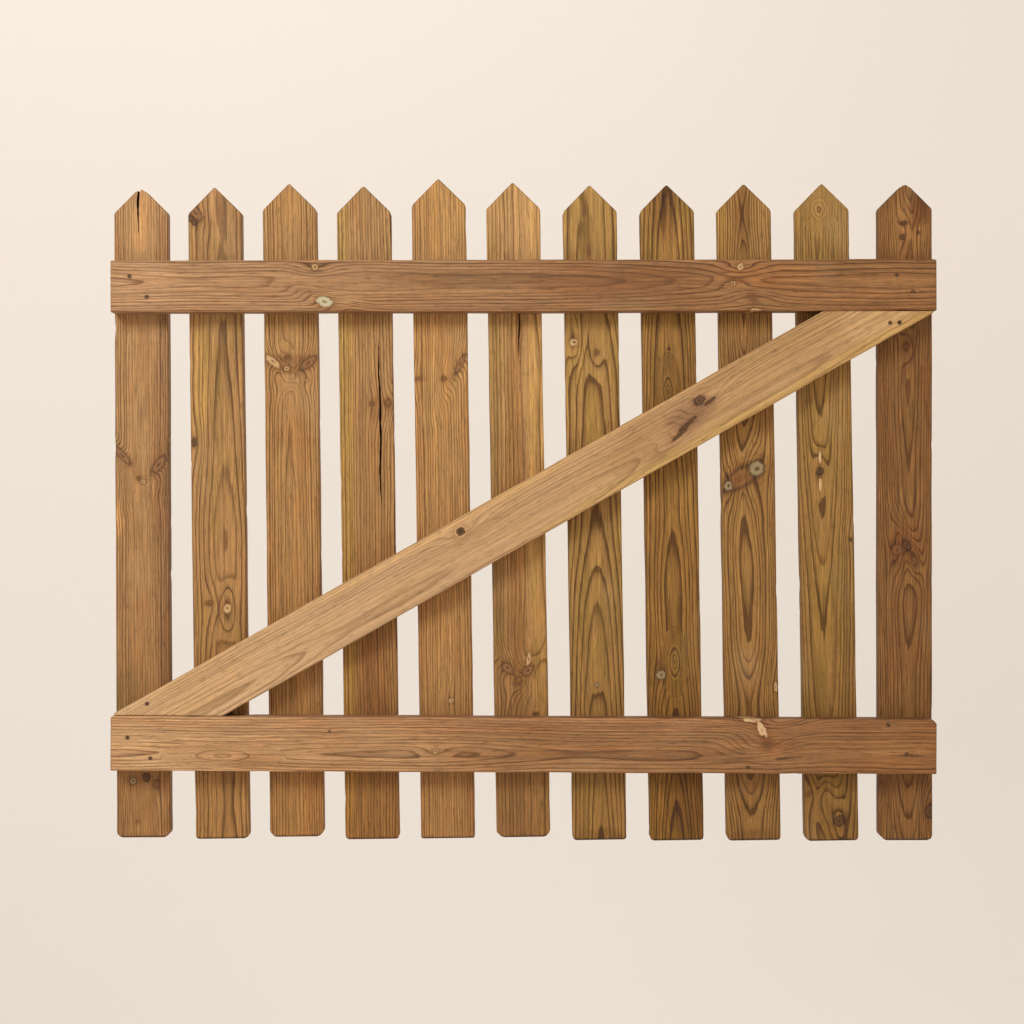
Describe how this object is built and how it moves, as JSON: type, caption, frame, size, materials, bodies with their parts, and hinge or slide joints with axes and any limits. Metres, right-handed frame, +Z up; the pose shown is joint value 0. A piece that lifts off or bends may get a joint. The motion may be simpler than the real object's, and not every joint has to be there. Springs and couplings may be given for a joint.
{
  "type": "garden gate",
  "caption": "Timber picket gate leaf with pointed pickets nailed to two ledges and a diagonal brace.",
  "frame": {"origin": "centre of the leaf's width and thickness, at the foot of its lowest picket", "axes": "+X along the width from the hanging edge to the closing edge, +Y from the ledges to the pickets, +Z up"},
  "size_m": [1.0023, 0.046, 0.8104],
  "materials": {
    "picket_wood": "sawn and planed softwood, pressure treated brown, matte",
    "ledge_wood": "planed softwood, pressure treated brown, matte",
    "brace_wood": "planed softwood, pale, matte",
    "nail_steel": "dull galvanised steel"
  },
  "bodies": {
    "root": {"picket_01": "picket_wood", "picket_02": "picket_wood", "picket_03": "picket_wood", "picket_04": "picket_wood", "picket_05": "picket_wood", "picket_06": "picket_wood", "picket_07": "picket_wood", "picket_08": "picket_wood", "picket_09": "picket_wood", "picket_10": "picket_wood", "picket_11": "picket_wood", "top_ledge": "ledge_wood", "bottom_ledge": "ledge_wood", "brace": "brace_wood", "picket_02_nails": "nail_steel", "picket_03_nails": "nail_steel", "picket_04_nails": "nail_steel", "picket_05_nails": "nail_steel", "picket_06_nails": "nail_steel", "picket_07_nails": "nail_steel", "picket_08_nails": "nail_steel", "picket_09_nails": "nail_steel", "picket_10_nails": "nail_steel", "top_ledge_end_nails": "nail_steel", "bottom_ledge_end_nails": "nail_steel", "brace_end_nails": "nail_steel"}
  },
  "joints": []
}
